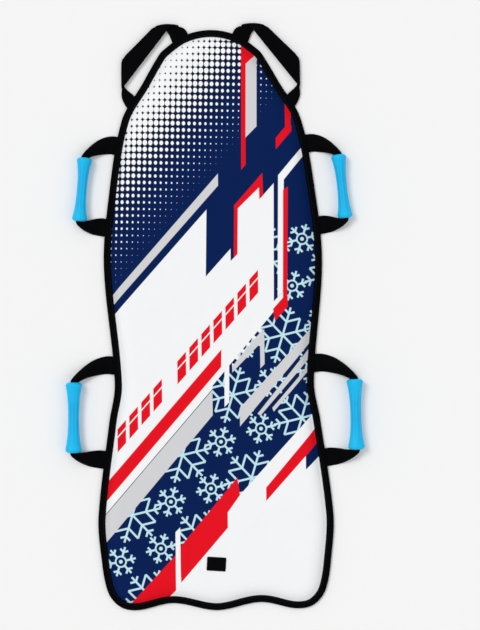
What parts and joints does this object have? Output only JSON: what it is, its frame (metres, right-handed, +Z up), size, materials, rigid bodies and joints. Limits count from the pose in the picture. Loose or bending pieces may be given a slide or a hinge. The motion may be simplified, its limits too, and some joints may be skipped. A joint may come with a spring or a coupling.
{
  "type": "folding sled",
  "caption": "Two-rider foam snow sled with a slick base, webbing handles with grips, nose loops and a fold across its middle.",
  "frame": {"origin": "on the ground under the middle of the whole sled, nose loops included", "axes": "+Z up out of the deck, +Y towards the nose, +X to the rider's right"},
  "size_m": [0.6286, 1.2335, 0.035],
  "materials": {
    "foam": "fine closed-cell foam, dark grey, hidden under the skins",
    "deck_print": "smooth knit cloth, printed in navy, red, grey and white, low sheen",
    "base": "slick black plastic sheet, glossy with fine lengthwise scuffs",
    "tape": "black woven edge tape with a sewn lockstitch, matte",
    "webbing": "black ribbed webbing, low sheen",
    "grip": "soft sky-blue grip, satin, faint lengthwise facets",
    "hook": "black hook tape, matte and bristly"
  },
  "bodies": {
    "rear_half": {"foam_core_rear": "foam", "deck_skin_rear": "deck_print", "base_sheet_rear": "base", "edge_tape_rear": "tape", "hook_patch": "hook", "webbing_end_rear_left_upper": "webbing", "webbing_end_rear_left_lower": "webbing", "webbing_end_rear_right_upper": "webbing", "webbing_end_rear_right_lower": "webbing"},
    "front_half": {"foam_core_front": "foam", "deck_skin_front": "deck_print", "base_sheet_front": "base", "edge_tape_front": "tape", "webbing_end_front_left_upper": "webbing", "webbing_end_front_left_lower": "webbing", "webbing_end_front_right_upper": "webbing", "webbing_end_front_right_lower": "webbing", "loop_end_left_inner": "webbing", "loop_end_left_outer": "webbing", "loop_end_right_inner": "webbing", "loop_end_right_outer": "webbing"},
    "handle_front_left": {"handle_strap_front_left": "webbing"},
    "grip_body_front_left": {"grip_front_left": "grip"},
    "handle_front_right": {"handle_strap_front_right": "webbing"},
    "grip_body_front_right": {"grip_front_right": "grip"},
    "handle_rear_left": {"handle_strap_rear_left": "webbing"},
    "grip_body_rear_left": {"grip_rear_left": "grip"},
    "handle_rear_right": {"handle_strap_rear_right": "webbing"},
    "grip_body_rear_right": {"grip_rear_right": "grip"},
    "loop_left": {"nose_loop_left": "webbing"},
    "loop_right": {"nose_loop_right": "webbing"}
  },
  "joints": [
    {"name": "fold", "type": "hinge", "parent": "rear_half", "child": "front_half", "pos_m": [0, -0.00675, 0.0254], "axis": [1, 0, 0], "range_deg": [0, 178.5]},
    {"name": "handle_swing_front_left", "type": "hinge", "parent": "front_half", "child": "handle_front_left", "pos_m": [-0.21915, 0.27709, 0.0039], "axis": [-0.1405, -0.9901, 0], "range_deg": [-105, 80]},
    {"name": "grip_spin_front_left", "type": "hinge", "parent": "handle_front_left", "child": "grip_body_front_left", "pos_m": [-0.2726, 0.27054, 0.0158], "axis": [0.0954, 0.9954, 0], "continuous": true},
    {"name": "handle_swing_front_right", "type": "hinge", "parent": "front_half", "child": "handle_front_right", "pos_m": [0.21915, 0.27709, 0.0039], "axis": [-0.1405, 0.9901, 0], "range_deg": [-105, 80]},
    {"name": "grip_spin_front_right", "type": "hinge", "parent": "handle_front_right", "child": "grip_body_front_right", "pos_m": [0.2726, 0.27054, 0.0158], "axis": [-0.0954, 0.9954, 0], "continuous": true},
    {"name": "handle_swing_rear_left", "type": "hinge", "parent": "rear_half", "child": "handle_rear_left", "pos_m": [-0.2282, -0.1981, 0.0039], "axis": [-0.1086, -0.9941, 0], "range_deg": [-105, 80]},
    {"name": "grip_spin_rear_left", "type": "hinge", "parent": "handle_rear_left", "child": "grip_body_rear_left", "pos_m": [-0.29565, -0.20783, 0.0175], "axis": [0.0163, 0.9999, 0], "continuous": true},
    {"name": "handle_swing_rear_right", "type": "hinge", "parent": "rear_half", "child": "handle_rear_right", "pos_m": [0.2282, -0.1981, 0.0039], "axis": [-0.1086, 0.9941, 0], "range_deg": [-105, 80]},
    {"name": "grip_spin_rear_right", "type": "hinge", "parent": "handle_rear_right", "child": "grip_body_rear_right", "pos_m": [0.29565, -0.20783, 0.0175], "axis": [-0.0163, 0.9999, 0], "continuous": true},
    {"name": "loop_swing_left", "type": "hinge", "parent": "front_half", "child": "loop_left", "pos_m": [-0.12145, 0.53334, 0.0039], "axis": [-0.6127, -0.7903, 0], "range_deg": [-115, 70]},
    {"name": "loop_swing_right", "type": "hinge", "parent": "front_half", "child": "loop_right", "pos_m": [0.12145, 0.53334, 0.0039], "axis": [-0.6127, 0.7903, 0], "range_deg": [-115, 70]}
  ]
}
